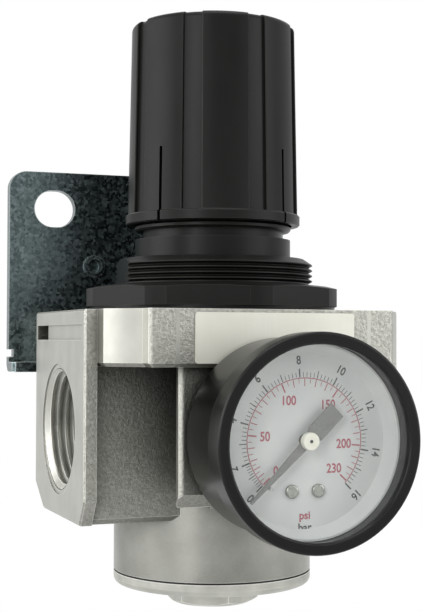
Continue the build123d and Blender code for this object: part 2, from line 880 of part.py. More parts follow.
def make_pointer_hub():
    front = rod_y(pointer_hub_r, pointer_hub_y, pointer_y - pointer_t, 0, gauge_z)
    front = fillet(front.edges().group_by(Axis.Y)[0], pointer_hub_edge)
    return front - rod_y(arbor_tip_r + fit_gap, pointer_hub_y, pointer_y, 0, gauge_z)


def toothed_disc(radius, teeth, depth):
    """Round gear blank with one V-shaped gap per tooth."""
    shape = Circle(radius)
    half = math.pi * radius / teeth / 2
    outer = radius + depth
    gap = make_face(Polyline((outer, half), (outer, -half), (radius - depth, 0), close=True))
    for index in range(teeth):
        shape -= Rot(0, 0, index * 360 / teeth) * gap
    return shape


def gear_radii():
    """Tip radii of pinion and sector, which nearly touch on the line of centres."""
    distance = math.hypot(*sector_pivot)
    pinion = distance / (sector_ratio + 1)
    return pinion - gear_gap, distance - pinion - gear_gap


def make_pointer_arbor():
    pinion_r = gear_radii()[0]
    solid = rod_y(arbor_r, pointer_y - pointer_t, arbor_back_y, 0, gauge_z)
    solid += rod_y(arbor_tip_r, pointer_hub_y, pointer_y - pointer_t, 0, gauge_z)
    pinion = extrude(Plane.XZ * toothed_disc(pinion_r, pinion_teeth, tooth_depth), gear_y[1] - gear_y[0])
    return solid + Pos(0, gear_y[1], gauge_z) * pinion


def make_sector_gear():
    radius = gear_radii()[1]
    blank = toothed_disc(radius, pinion_teeth * sector_ratio, tooth_depth)
    low, high = [math.radians(value) for value in sector_span]
    reach = 2 * radius
    wedge = make_face(Polyline(
        (0, 0),
        (reach * math.cos(low), reach * math.sin(low)),
        (reach * math.cos(high), reach * math.sin(high)),
        close=True,
    ))
    shape = (blank & wedge) - Circle(radius - sector_arm)
    middle = (sector_span[0] + sector_span[1]) / 2
    arm = Rot(0, 0, middle) * Pos(radius / 2, 0) * Rectangle(radius - sector_arm / 2, sector_hub_r)
    shape += (arm & Circle(radius - sector_arm / 2)) + Circle(sector_hub_r)
    gear = extrude(Plane.XZ * shape, gear_y[1] - gear_y[0])
    x, z = sector_pivot
    gear = Pos(x, gear_y[1], gauge_z + z) * gear
    front = movement_front_y - movement_plate_t
    back = movement_back_y + movement_plate_t
    shaft = rod_y(arbor_r, front, back, x, gauge_z + z)
    return gear + shaft


def make_gauge_movement():
    plates = []
    for front in (movement_front_y - movement_plate_t, movement_back_y):
        heights = (gauge_z + movement_z[0], gauge_z + movement_z[1])
        plate = block((-movement_x, movement_x), (front, front + movement_plate_t), heights)
        plates.append(plate)
    solid = plates[0] + plates[1]
    for x, z in pillars:
        solid += rod_y(pillar_r, movement_front_y, movement_back_y, x, gauge_z + z)
    front = movement_front_y - movement_plate_t
    back = movement_back_y + movement_plate_t
    solid -= rod_y(arbor_r + run_gap, front, back, 0, gauge_z)
    solid -= rod_y(arbor_r + run_gap, front, back, sector_pivot[0], gauge_z + sector_pivot[1])
    for side in (-1, 1):
        hole = rod_y(dial_screw_shank_r, front, movement_front_y, side * dial_screw_x, gauge_z + dial_screw_z)
        solid -= hole
    return solid


def make_bourdon_tube():
    section = Pos(bourdon_r, bourdon_y) * Ellipse(*bourdon_section)
    arc = revolve(section, Axis.Y, bourdon_turn)
    root_angle = math.degrees(math.asin(bar_x / (bourdon_r - bourdon_section[0])))
    return Pos(0, 0, gauge_z) * Rot(0, 90 + root_angle, 0) * arc


def make_rear_port_plug():
    plug = rod_y(quarter_thread_r - fit_gap, boss_y - quarter_depth + bottom_gap, boss_y, 0, gauge_z)
    return plug - Pos(0, boss_y, gauge_z) * hex_key(plug_key, plug_key_depth)


# ---------------------------------------------------------------- wall bracket
def make_bracket():
    front = pad_y
    leg_bottom_z = bracket_leg_top_z - bracket_t
    points = (
        (front - bracket_leg, bracket_leg_top_z),
        (front, bracket_leg_top_z),
        (front, bracket_top_z),
        (front + bracket_t, bracket_top_z),
        (front + bracket_t, leg_bottom_z),
        (front - bracket_leg, leg_bottom_z),
    )
    profile = make_face(Plane.YZ * Polyline(*points, close=True))
    width = bracket_x[1] - bracket_x[0]
    solid = Pos(bracket_x[0], 0, 0) * extrude(profile, width, dir=(1, 0, 0))
    lengthwise = solid.edges().filter_by(Axis.X)
    heel = lengthwise.group_by(Axis.Z)[0].sort_by(Axis.Y)[-1]
    solid = fillet(heel, bracket_t)
    upper = solid.edges().filter_by(Axis.Y).group_by(Axis.Z)[-1]
    solid = fillet(upper, bracket_corner)
    foot = solid.edges().filter_by(Axis.Z).filter_by_position(Axis.Z, leg_bottom_z, bracket_leg_top_z)
    toes = foot.group_by(Axis.Y)[0]
    solid = chamfer(toes, bracket_toe)
    relief = (front - bracket_leg, boss_y + slide_gap)
    solid -= block((-boss_x - slide_gap, boss_x + slide_gap), relief, (leg_bottom_z, bracket_leg_top_z))
    back = front + bracket_t
    middle = (bracket_x[0] + bracket_x[1]) / 2
    for side, end in zip((-1, 1), bracket_x):
        slot = SlotOverall(slot_length, slot_w)
        solid -= extrude(Plane.XZ.offset(-back) * Pos(middle + side * slot_x, slot_z) * slot, bracket_t)
        place = middle + side * formed_x
        solid += rod_y(formed_r, front - formed_h, front, place, formed_z)
        solid -= rod_y(formed_hole_r, front - formed_h, back - formed_floor, place, formed_z)
        edge = sorted((end, end - side * notch_w))
        solid -= block(edge, (front, back), notch_z)
        sink = Cone(screw_r, screw_head_r, bracket_t, align=UP)
        solid -= Pos(side * bracket_screw_x, front, bracket_screw_z) * Rot(-90, 0, 0) * sink
    return solid


def make_bracket_screws():
    screws = []
    for side in (-1, 1):
        head = Cone(screw_r - fit_gap, screw_head_r - fit_gap, bracket_t, align=UP)
        screw = Pos(side * bracket_screw_x, pad_y, bracket_screw_z) * Rot(-90, 0, 0) * head
        tail = pad_y - screw_depth + bottom_gap
        screw += rod_y(screw_r - fit_gap, tail, pad_y, side * bracket_screw_x, bracket_screw_z)
        face = Pos(side * bracket_screw_x, pad_y + bracket_t, bracket_screw_z)
        screws.append(screw - face * hex_key(screw_key, screw_key_depth))
    return Compound(children=screws)


parts = {
    "body": make_body,
    "label_plate": make_label_plate,
    "bonnet": make_bonnet,
    "thrust_washer": make_thrust_washer,
    "spindle": make_spindle,
    "spindle_clip": make_spindle_clip,
    "spring_nut": make_spring_nut,
    "main_spring": make_main_spring,
    "knob": make_knob,
    "diaphragm": make_diaphragm,
    "diaphragm_seat_plate": make_diaphragm_seat_plate,
    "diaphragm_lower_plate": make_diaphragm_lower_plate,
    "valve_seat": make_valve_seat,
    "poppet": make_poppet,
    "poppet_seal": make_poppet_seal,
    "valve_spring": make_valve_spring,
    "stem_seal": make_stem_seal,
    "guide_seal": make_guide_seal,
    "cap_seal": make_cap_seal,
    "bottom_cap": make_bottom_cap,
    "gauge_socket": make_gauge_socket,
    "gauge_washer": make_gauge_washer,
    "gauge_case": make_gauge_case,
    "gauge_bezel": make_gauge_bezel,
    "gauge_window": make_gauge_window,
    "gauge_dial": make_gauge_dial,
    "dial_screws": make_dial_screws,
    "pointer_stop": make_pointer_stop,
    "pointer": make_pointer,
    "pointer_hub": make_pointer_hub,
    "pointer_arbor": make_pointer_arbor,
    "sector_gear": make_sector_gear,
    "gauge_movement": make_gauge_movement,
    "bourdon_tube": make_bourdon_tube,
    "rear_port_plug": make_rear_port_plug,
    "bracket": make_bracket,
    "bracket_screws": make_bracket_screws,
}

os.makedirs("parts", exist_ok=True)
for name, make in parts.items():
    export_step(make(), f"parts/{name}.step")
    print(name)
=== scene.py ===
import math

import bpy
from mathutils import Matrix, Vector


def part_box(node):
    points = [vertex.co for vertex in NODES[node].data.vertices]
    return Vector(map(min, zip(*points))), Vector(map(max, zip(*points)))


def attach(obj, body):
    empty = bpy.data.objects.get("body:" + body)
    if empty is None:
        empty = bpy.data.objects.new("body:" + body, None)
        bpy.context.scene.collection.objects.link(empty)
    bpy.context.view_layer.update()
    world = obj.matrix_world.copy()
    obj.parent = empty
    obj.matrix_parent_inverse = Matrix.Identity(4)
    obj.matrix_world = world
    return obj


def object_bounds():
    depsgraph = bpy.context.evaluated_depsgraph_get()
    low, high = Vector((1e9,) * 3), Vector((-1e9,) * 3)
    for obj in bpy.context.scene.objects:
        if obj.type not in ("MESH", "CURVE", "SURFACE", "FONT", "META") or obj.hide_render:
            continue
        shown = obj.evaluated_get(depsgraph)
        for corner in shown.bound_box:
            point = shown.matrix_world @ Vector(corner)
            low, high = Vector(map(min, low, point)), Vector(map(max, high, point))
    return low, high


# Air pressure regulator: finishes, port threads, dial printing, lights and camera.
# Metres, +Z towards the knob, -Y towards the gauge, ports along X.

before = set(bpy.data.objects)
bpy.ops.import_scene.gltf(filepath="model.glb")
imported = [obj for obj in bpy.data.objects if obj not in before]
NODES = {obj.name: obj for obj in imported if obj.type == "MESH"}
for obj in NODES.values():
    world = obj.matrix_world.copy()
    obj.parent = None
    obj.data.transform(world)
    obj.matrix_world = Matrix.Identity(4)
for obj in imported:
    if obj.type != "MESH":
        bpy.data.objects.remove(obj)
CAD_BOX = [list(corner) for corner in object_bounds()]
MM = 0.001


# ---------------------------------------------------------------- small helpers
def linear(hex_colour, alpha=1.0):
    """sRGB hex to the linear colour that the shaders take."""
    channels = []
    for start in (0, 2, 4):
        value = int(hex_colour[start:start + 2], 16) / 255
        channels.append(value / 12.92 if value <= 0.04045 else ((value + 0.055) / 1.055) ** 2.4)
    return (*channels, alpha)


def add(tree, kind, settings=None, **inputs):
    """Adds a node: settings are its properties, inputs its socket values or links.

    An input goes by its name, with underscores for spaces, or by i and its number."""
    node = tree.nodes.new(kind)
    for name, value in (settings or {}).items():
        setattr(node, name, value)
    for name, value in inputs.items():
        key = int(name[1:]) if name[1:].isdigit() else name.replace("_", " ")
        socket = node.inputs[key]
        if isinstance(value, bpy.types.NodeSocket):
            tree.links.new(value, socket)
        else:
            socket.default_value = value
    return node


def calc(tree, operation, *values, clamp=False):
    """One Math node on the values."""
    inputs = {f"i{index}": value for index, value in enumerate(values)}
    return add(tree, "ShaderNodeMath", {"operation": operation, "use_clamp": clamp}, **inputs).outputs[0]


def new_material(name, **inputs):
    """A material with one Principled shader, and its tree."""
    material = bpy.data.materials.new(name)
    material.use_nodes = True
    tree = material.node_tree
    tree.nodes.clear()
    shader = add(tree, "ShaderNodeBsdfPrincipled", **inputs)
    add(tree, "ShaderNodeOutputMaterial", Surface=shader.outputs[0])
    return material, tree, shader


def place(tree):
    """Object coordinates, which are the part's own metres."""
    return add(tree, "ShaderNodeTexCoord").outputs["Object"]


def noise(tree, size_mm, detail=2.0, roughness=0.5, stretch=(1, 1, 1), where=None):
    """Noise whose grain is size_mm across, drawn out along an axis by stretch below 1."""
    scaled = add(tree, "ShaderNodeMapping", Vector=where or place(tree), Scale=stretch)
    return add(tree, "ShaderNodeTexNoise", Vector=scaled.outputs[0], Scale=1 / (size_mm * MM),
               Detail=detail, Roughness=roughness).outputs["Fac"]


def ramp(tree, factor, low, high, a, b):
    """Maps factor from low..high to a..b, held at the ends."""
    return add(tree, "ShaderNodeMapRange", i0=factor, i1=low, i2=high, i3=a, i4=b).outputs[0]


def blend(tree, factor, a, b, kind="MIX"):
    """Colour a where factor is 0 and b where it is 1."""
    return add(tree, "ShaderNodeMix", {"data_type": "RGBA", "blend_type": kind},
               i0=factor, i6=a, i7=b).outputs[2]


def bump(tree, shader, height, depth_mm, strength=1.0, normal=None):
    """Bump whose full height is depth_mm."""
    inputs = {"Height": height, "Distance": depth_mm * MM, "Strength": strength}
    if normal is not None:
        inputs["Normal"] = normal
    node = add(tree, "ShaderNodeBump", **inputs)
    tree.links.new(node.outputs[0], shader.inputs["Normal"])
    return node.outputs[0]


def wear(tree, radius_mm, low=0.02, high=0.16):
    """1 along edges, 0 on flats: how far a rounded normal leaves the true one. The finishes lighten edges
    with it, partly as rubbed wear and partly as a painted edge highlight.
    """
    rounded = add(tree, "ShaderNodeBevel", {"samples": 4}, Radius=radius_mm * MM).outputs[0]
    true = add(tree, "ShaderNodeNewGeometry").outputs["Normal"]
    apart = add(tree, "ShaderNodeVectorMath", {"operation": "DISTANCE"}, i0=rounded, i1=true)
    return ramp(tree, apart.outputs["Value"], low, high, 0, 1)


# ---------------------------------------------------------------- finishes
BAND_R = 53.0 * MM          # turned outside of the upper band
BAND_REACH = 0.25 * MM      # how far off that radius still counts as turned
BARREL_R = 28.0 * MM        # turned lower barrel
BARREL_REACH = 0.12 * MM
SIDEWAYS = 0.9              # a face that looks this much along X is a port face
GRAIN_MM = 0.7              # blasted grain
GRAIN_DEPTH = 0.22 * MM
SHADE_REACH = 45 * MM           # how far a wall casts painted shade on the faces beside it


def cast_aluminium():
    """Die-cast aluminium, shot-blasted: a fine sparkling grain, paler along the edges, partly rubbed wear and
    partly a painted edge highlight, and darkened by painted shade on the faces sheltered by nearby walls.

    The outside of the band and the round barrel are turned after casting, so they are smoother there."""
    material, tree, shader = new_material("die_cast_aluminium", Metallic=1.0)
    where = place(tree)
    split = add(tree, "ShaderNodeSeparateXYZ", Vector=where)
    normal = add(tree, "ShaderNodeSeparateXYZ", Vector=add(tree, "ShaderNodeNewGeometry").outputs["Normal"])
    radius = add(tree, "ShaderNodeVectorMath", {"operation": "LENGTH"},
                 i0=add(tree, "ShaderNodeCombineXYZ", X=split.outputs[0], Y=split.outputs[1]).outputs[0])
    out = radius.outputs["Value"]
    on_band = calc(tree, "COMPARE", out, BAND_R, BAND_REACH)
    on_barrel = calc(tree, "COMPARE", out, BARREL_R, BARREL_REACH)
    turned = calc(tree, "MAXIMUM", on_band, on_barrel, clamp=True)
    sideways = calc(tree, "ABSOLUTE", normal.outputs[0])
    port_face = calc(tree, "GREATER_THAN", sideways, SIDEWAYS)
    smooth = calc(tree, "MAXIMUM", turned, port_face)
    grit = noise(tree, GRAIN_MM, detail=4.0, roughness=0.65, where=where)
    cloud = noise(tree, 9.0, detail=3.0, where=where)
    base = blend(tree, ramp(tree, grit, 0.3, 0.7, 0, 1), linear("86867F"), linear("B8B8B1"))
    base = blend(tree, ramp(tree, cloud, 0.3, 0.7, 0, 0.35), base, linear("A3A299"))
    plain = blend(tree, ramp(tree, cloud, 0.3, 0.7, 0, 1), linear("A4A49D"), linear("B4B4AD"))
    base = blend(tree, smooth, base, plain)
    # Painted shade: ambient occlusion darkens faces sheltered by nearby walls towards 2E2E2B, as in the
    # recess under the band.
    open_to_light = add(tree, "ShaderNodeAmbientOcclusion", {"samples": 6}, Distance=SHADE_REACH).outputs["AO"]
    base = blend(tree, ramp(tree, open_to_light, 0.25, 0.75, 0.9, 0), base, linear("2E2E2B"))
    # Paler edges: partly rubbed wear, partly a painted edge highlight.
    edge = ramp(tree, wear(tree, 0.3, 0.05, 0.3), 0, 1, 0, 0.6)
    base = blend(tree, edge, base, linear("E2E2DC"))
    tree.links.new(base, shader.inputs["Base Color"])
    rough_value = ramp(tree, smooth, 0, 1, 0.42, 0.32)
    tree.links.new(rough_value, shader.inputs["Roughness"])
    lines = noise(tree, 0.35, detail=2.0, stretch=(1, 1, 6), where=where)
    height = add(tree, "ShaderNodeMix", {"data_type": "FLOAT"}, i0=smooth, i2=grit, i3=lines).outputs[0]
    depth = add(tree, "ShaderNodeMix", {"data_type": "FLOAT"}, i0=smooth, i2=0.85, i3=0.06).outputs[0]
    node = add(tree, "ShaderNodeBump", Height=height, Distance=GRAIN_DEPTH, Strength=depth)
    tree.links.new(node.outputs[0], shader.inputs["Normal"])
    return material


def turned_aluminium():
    """Turned aluminium: fine rings left by the tool, a soft bright streak where they catch the light."""
    material, tree, shader = new_material("turned_aluminium", Metallic=0.85, Roughness=0.42, Anisotropic=0.35)
    where = place(tree)
    lines = noise(tree, 0.3, detail=2.0, stretch=(0.25, 0.25, 1), where=where)
    cloud = noise(tree, 6.0, detail=3.0, where=where)
    base = blend(tree, ramp(tree, cloud, 0.3, 0.7, 0, 1), linear("A6A69F"), linear("BDBDB6"))
    # Paler edges: partly rubbed wear, partly a painted edge highlight.
    base = blend(tree, wear(tree, 0.35), base, linear("E4E4DE"))
    tree.links.new(base, shader.inputs["Base Color"])
    bump(tree, shader, lines, 0.03, 0.5)
    return material


def moulded_nylon():
    """Glass-filled nylon, moulded: near black with a slight sheen and a fine matt skin."""
    material, tree, shader = new_material("moulded_nylon", Roughness=0.38, IOR=1.53, Specular_IOR_Level=0.14)
    where = place(tree)
    cloud = noise(tree, 14.0, detail=3.0, stretch=(1, 1, 0.35), where=where)
    base = blend(tree, ramp(tree, cloud, 0.3, 0.7, 0, 1), linear("0A0A09"), linear("121211"))
    # Lighter edges on the black nylon: partly wear, partly a painted edge sheen.
    base = blend(tree, wear(tree, 0.3), base, linear("282825"))
    tree.links.new(base, shader.inputs["Base Color"])
    tree.links.new(ramp(tree, cloud, 0.3, 0.7, 0.32, 0.44), shader.inputs["Roughness"])
    bump(tree, shader, noise(tree, 0.5, detail=3.0, where=where), 0.02, 0.6)
    return material


def gloss_enamel():
    """Black enamel baked on pressed steel: a smooth gloss with a faint ripple."""
    material, tree, shader = new_material("baked_black_enamel", Roughness=0.22, IOR=1.5,
                                          Specular_IOR_Level=0.22)
    where = place(tree)
    # Lighter edges on the black enamel: partly wear, partly a painted edge sheen.
    base = blend(tree, wear(tree, 0.35), linear("070707"), linear("1E1E1D"))
    tree.links.new(base, shader.inputs["Base Color"])
    bump(tree, shader, noise(tree, 3.0, detail=2.0, where=where), 0.02, 0.4)
    return material


def zinc_plate():
    """Bright zinc plate on rolled sheet steel: a cool grey mirror broken up by small crystals, dark where it
    reflects the room and bright where it faces the window side."""
    material, tree, shader = new_material("zinc_plated_sheet", Metallic=1.0)
    where = place(tree)
    cells = add(tree, "ShaderNodeTexVoronoi", Vector=where, Scale=1 / (0.9 * MM), Randomness=1.0)
    speck = add(tree, "ShaderNodeSeparateColor", Color=cells.outputs["Color"]).outputs[0]
    cloud = noise(tree, 16.0, detail=3.0, where=where)
    fine = noise(tree, 0.8, detail=4.0, roughness=0.7, where=where)
    mottle = blend(tree, ramp(tree, speck, 0.0, 1.0, 0, 1), linear("465152"), linear("7E8C8D"))
    mottle = blend(tree, ramp(tree, fine, 0.35, 0.7, 0, 0.6), mottle, linear("3C4648"))
    mottle = blend(tree, ramp(tree, cloud, 0.35, 0.65, 0, 0.3), mottle, linear("4E5A5C"))
    # Bright edges on the zinc: partly rubbed wear, partly a painted edge highlight.
    mottle = blend(tree, wear(tree, 0.35), mottle, linear("C6D0D0"))
    tree.links.new(mottle, shader.inputs["Base Color"])
    tree.links.new(ramp(tree, speck, 0, 1, 0.22, 0.36), shader.inputs["Roughness"])
    bump(tree, shader, blend(tree, 0.5, cells.outputs["Color"], fine), 0.02, 0.5)
    return material


def satin_foil():
    """Satin metal foil label: pale and smooth, with faint upright brushing."""
    material, tree, shader = new_material("satin_foil", Metallic=0.35, Roughness=0.42)
    where = place(tree)
    lines = noise(tree, 0.5, detail=3.0, stretch=(1, 1, 0.05), where=where)
    cloud = noise(tree, 10.0, detail=2.0, where=where)
    base = blend(tree, ramp(tree, lines, 0.3, 0.7, 0, 1), linear("DFDED3"), linear("E1E0D5"))
    base = blend(tree, ramp(tree, cloud, 0.35, 0.7, 0, 0.5), base, linear("D4D3C6"))
    tree.links.new(base, shader.inputs["Base Color"])
    bump(tree, shader, lines, 0.01, 0.1)
    return material


def dial_enamel():
    """Matt enamel on pressed sheet: an even pale grey that spreads the light."""
    material, tree, shader = new_material("matt_dial_enamel", Roughness=0.6, IOR=1.5)
    cloud = noise(tree, 7.0, detail=2.0)
    base = blend(tree, ramp(tree, cloud, 0.3, 0.7, 0, 1), linear("CDD0CF"), linear("D8DAD8"))
    tree.links.new(base, shader.inputs["Base Color"])
    return material


INK_THIN = 0.25             # share of the dial that shows through where the ink is thin
DIAL_GREY = 0.6


def ink(name, colour):
    """Printing ink on the dial: flat and matt, a little uneven where it was pad printed."""
    material, tree, shader = new_material(name, Roughness=0.65, IOR=1.5)
    patchy = noise(tree, 0.6, detail=2.0)
    pale = tuple((1 - INK_THIN) * value + INK_THIN * DIAL_GREY for value in linear(colour)[:3])
    base = blend(tree, ramp(tree, patchy, 0.35, 0.75, 0, 0.8), linear(colour), (*pale, 1.0))
    tree.links.new(base, shader.inputs["Base Color"])
    return material


def machined(name, dark, light, roughness, metallic=1.0):
    """Machined metal: thin tool lines."""
    material, tree, shader = new_material(name, Metallic=metallic, Roughness=roughness)
    where = place(tree)
    lines = noise(tree, 0.3, detail=3.0, where=where)
    base = blend(tree, ramp(tree, lines, 0.3, 0.7, 0, 1), linear(dark), linear(light))
    tree.links.new(base, shader.inputs["Base Color"])
    bump(tree, shader, lines, 0.01, 0.4)
    return material


def moulded_rubber():
    """Nitrile rubber, moulded: dull black with a soft bloom."""
    material, tree, shader = new_material("moulded_nitrile", Roughness=0.7, IOR=1.52)
    base = blend(tree, ramp(tree, noise(tree, 1.0), 0.35, 0.7, 0, 1), linear("0B0B0B"), linear("171716"))
    tree.links.new(base, shader.inputs["Base Color"])
    return material


def clear_window():
    """Clear moulded window, thin enough to look straight through, with a faint surface shine."""
    material, tree, shader = new_material("clear_polycarbonate", Roughness=0.04, IOR=1.2, Alpha=0.06)
    base = blend(tree, ramp(tree, noise(tree, 12.0), 0.3, 0.7, 0, 1), linear("E4E8E6"), linear("EEF0EE"))
    tree.links.new(base, shader.inputs["Base Color"])
    return material


def moulded_cap():
    """Cream moulded cap on the pointer."""
    material, tree, shader = new_material("cream_moulded_cap", Roughness=0.35, IOR=1.5)
    base = blend(tree, ramp(tree, noise(tree, 1.5), 0.3, 0.7, 0, 1), linear("E9E8D8"), linear("F2F1E4"))
    tree.links.new(base, shader.inputs["Base Color"])
    return material


CAST = cast_aluminium()
TURNED = turned_aluminium()
NYLON = moulded_nylon()
ENAMEL = gloss_enamel()
ZINC = zinc_plate()
FOIL = satin_foil()
DIAL = dial_enamel()
STEEL = machined("machined_steel", "8E8F8C", "B5B6B3", 0.32)
PLATED_SCREW = machined("plated_screw_head", "6E706A", "B4B6AE", 0.14)
BRASS = machined("machined_brass", "A98748", "C9A864", 0.33)
RUBBER = moulded_rubber()
WINDOW = clear_window()
CAP = moulded_cap()
POINTER = machined("black_enamelled_pointer", "5E5F5C", "7C7D79", 0.4, metallic=0.6)
BLACK_INK = ink("black_dial_ink", "1A1A1A")
RED_INK = ink("red_dial_ink", "A83A50")
# Near-black arbor tip: painted shade that stands in for the dark hole in the middle of the pointer cap.
ARBOR_HOLE_SHADE = machined("arbor_painted_hole_shade", "1C1D1E", "303132", 0.4)

FINISHES = {
    "body": CAST,
    "bottom_cap": TURNED,
    "diaphragm_seat_plate": TURNED,
    "label_plate": FOIL,
    "bonnet": NYLON,
    "knob": NYLON,
    "bracket": ZINC,
    "gauge_case": ENAMEL,
    "gauge_bezel": ENAMEL,
    "gauge_window": WINDOW,
    "gauge_dial": DIAL,
    "dial_screws": PLATED_SCREW,
    "pointer": POINTER,
    "pointer_arbor": ARBOR_HOLE_SHADE,
    "pointer_hub": CAP,
}
BRASS_NODES = (
    "gauge_socket", "gauge_movement", "sector_gear", "bourdon_tube", "valve_seat", "poppet",
    "diaphragm_lower_plate",
)
RUBBER_NODES = (
    "diaphragm", "poppet_seal", "stem_seal", "guide_seal", "cap_seal", "gauge_washer",
)
FINISHES.update(dict.fromkeys(BRASS_NODES, BRASS))
FINISHES.update(dict.fromkeys(RUBBER_NODES, RUBBER))
for node_name, node in NODES.items():
    finish = FINISHES.get(node_name, STEEL)
    if not node.data.materials:
        node.data.materials.append(finish)
    for index in range(len(node.data.materials)):
        node.data.materials[index] = finish


# ---------------------------------------------------------------- pieces
def piece(name, vertices, faces, material, body, smooth=True):
    """A mesh piece that rides on a body."""
    mesh = bpy.data.meshes.new(name)
    mesh.from_pydata(vertices, [], faces)
    mesh.validate()
    if smooth:
        mesh.shade_smooth()
    made = bpy.data.objects.new(name, mesh)
    bpy.context.scene.collection.objects.link(made)
    made.data.materials.append(material)
    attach(made, body)
    return made


PORT_MAJOR_R = 16.55 * MM   # a hair inside the plain bore
PORT_MINOR_R = 15.15 * MM
PORT_PITCH = 2.309 * MM     # 11 threads to the inch
PORT_LENGTH = 16.1 * MM
PORT_MOUTH = 0.35 * MM      # how far the thread starts inside the flange
THREAD_STEPS = 96           # points round one turn
THREAD_PROFILE = ((0.0, 0.0), (0.42, 1.0), (0.58, 1.0), (1.0, 0.0))    # along one pitch, and rise


def port_thread(name, side):
    """Internal pipe thread of a port: a helical ridge whose crest rises from a 45 degree lead-in."""
    face_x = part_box("body")[1].x
    turns = int(PORT_LENGTH / PORT_PITCH)
    vertices, faces = [], []
    count = (turns + 1) * len(THREAD_PROFILE)
    for step in range(THREAD_STEPS + 1):
        angle = 2 * math.pi * step / THREAD_STEPS
        for turn in range(turns + 1):
            for along, rise in THREAD_PROFILE:
                depth = (turn + along + step / THREAD_STEPS - 1) * PORT_PITCH
                depth = min(max(depth, 0.0), PORT_LENGTH)
                lead = PORT_MAJOR_R - depth
                ridge = PORT_MAJOR_R - rise * (PORT_MAJOR_R - PORT_MINOR_R)
                radius = max(ridge, min(lead, PORT_MAJOR_R))
                x = side * (face_x - PORT_MOUTH - depth)
                vertices.append((x, radius * math.cos(angle), radius * math.sin(angle) * side))
    for step in range(THREAD_STEPS):
        for row in range(count - 1):
            a = step * count + row
            faces.append((a, a + 1, a + count + 1, a + count))
    return piece(name, vertices, faces, TURNED, "housing", smooth=False)


port_thread("inlet_thread", -1)
port_thread("outlet_thread", 1)


# ---------------------------------------------------------------- dial printing
DIAL_LOW, DIAL_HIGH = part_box("gauge_bezel")
DIAL_CENTRE = Vector(((DIAL_LOW.x + DIAL_HIGH.x) / 2, 0, (DIAL_LOW.z + DIAL_HIGH.z) / 2))
DIAL_FACE_Y = -63.2 * MM
INK_LIFT = 0.04 * MM        # printed ink stands this far off the enamel
BAR_ZERO_DEG = -133.5
BAR_TWO_DEG = -109.4
BAR_STEP_DEG = 17.42        # turn of the pointer for one bar
PSI_PER_BAR = 14.504
SCALE_R = 15.1              # scale line, in millimetres
FIGURE_HEIGHT = 0.7         # height of the font's figures, as a share of its size
INK_SPREAD = 0.075 * MM     # how far the strokes of the figures spread
ARC_STEPS = 120


def bar_angle(bar):
    """Degrees clockwise from straight up. The first two bar are squeezed, as the tube starts off its stop."""
    if bar < 2:
        return BAR_ZERO_DEG + bar / 2 * (BAR_TWO_DEG - BAR_ZERO_DEG)
    return BAR_TWO_DEG + (bar - 2) * BAR_STEP_DEG


def dial_point(degrees, radius_mm, lift=INK_LIFT):
    angle = math.radians(degrees)
    return Vector((
        DIAL_CENTRE.x + radius_mm * MM * math.sin(angle),
        DIAL_FACE_Y - lift,
        DIAL_CENTRE.z + radius_mm * MM * math.cos(angle),
    ))


def ticks(name, marks, material):
    """Printed marks: each is (degrees, inner radius, outer radius, width) in millimetres."""
    vertices, faces = [], []
    for degrees, inner, outer, width in marks:
        angle = math.radians(degrees)
        across = Vector((math.cos(angle), 0, -math.sin(angle))) * width / 2 * MM
        start = len(vertices)
        for radius in (inner, outer):
            middle = dial_point(degrees, radius)
            vertices += [middle - across, middle + across]
        faces.append((start, start + 1, start + 3, start + 2))
    return piece(name, vertices, faces, material, "housing", smooth=False)


def arc_line(name, radius, width, low, high, material):
    """Printed line round the scale."""
    vertices, faces = [], []
    for step in range(ARC_STEPS + 1):
        degrees = low + (high - low) * step / ARC_STEPS
        vertices += [dial_point(degrees, radius - width / 2), dial_point(degrees, radius + width / 2)]
        if step:
            last = 2 * step
            faces.append((last - 2, last - 1, last + 1, last))
    return piece(name, vertices, faces, material, "housing", smooth=False)


def numeral(name, text, degrees, radius_mm, height_mm, material, turned, narrow=0.85):
    """Printed number, with its foot towards the middle where turned."""
    curve = bpy.data.curves.new(name, "FONT")
    curve.body = text
    curve.size = height_mm * MM / FIGURE_HEIGHT
    curve.align_x = "CENTER"
    curve.align_y = "CENTER"
    curve.offset = INK_SPREAD
    made = bpy.data.objects.new(name, curve)
    bpy.context.scene.collection.objects.link(made)
    made.data.materials.append(material)
    spin = Matrix.Rotation(math.radians(degrees if turned else 0), 4, "Y")
    upright = Matrix.Rotation(math.radians(90), 4, "X")
    squeeze = Matrix.Diagonal((narrow, 1, 1, 1))
    made.matrix_world = Matrix.Translation(dial_point(degrees, radius_mm)) @ spin @ upright @ squeeze
    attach(made, "housing")
    return made


LINE_GAP = 0.2              # from the scale line to the foot of each tick
BAR_LIMIT = 16
TICKS_PER_BAR = 5
BAR_LONG, BAR_MIDDLE, BAR_SHORT = (2.3, 0.36), (2.0, 0.22), (1.4, 0.16)    # reach and width
bar_marks = []
for step in range(BAR_LIMIT * TICKS_PER_BAR + 1):
    value = step / TICKS_PER_BAR
    reach, width = BAR_SHORT
    if value % 2 == 0:
        reach, width = BAR_LONG
    elif value % 1 == 0:
        reach, width = BAR_MIDDLE
    bar_marks.append((bar_angle(value), SCALE_R + LINE_GAP, SCALE_R + reach, width))
ticks("bar_ticks", bar_marks, BLACK_INK)

PSI_LIMIT = 230
PSI_LONG, PSI_MIDDLE, PSI_SHORT = (2.4, 0.36), (2.0, 0.22), (1.3, 0.16)
psi_marks = []
for psi in range(0, PSI_LIMIT + 1, 5):
    reach, width = PSI_SHORT
    if psi % 50 == 0 or psi == PSI_LIMIT:
        reach, width = PSI_LONG
    elif psi % 10 == 0:
        reach, width = PSI_MIDDLE
    psi_marks.append((bar_angle(psi / PSI_PER_BAR), SCALE_R - reach, SCALE_R - LINE_GAP, width))
ticks("psi_ticks", psi_marks, RED_INK)
SCALE_LINE_W = 0.22
arc_line("scale_line", SCALE_R, SCALE_LINE_W, bar_angle(0), bar_angle(BAR_LIMIT), RED_INK)

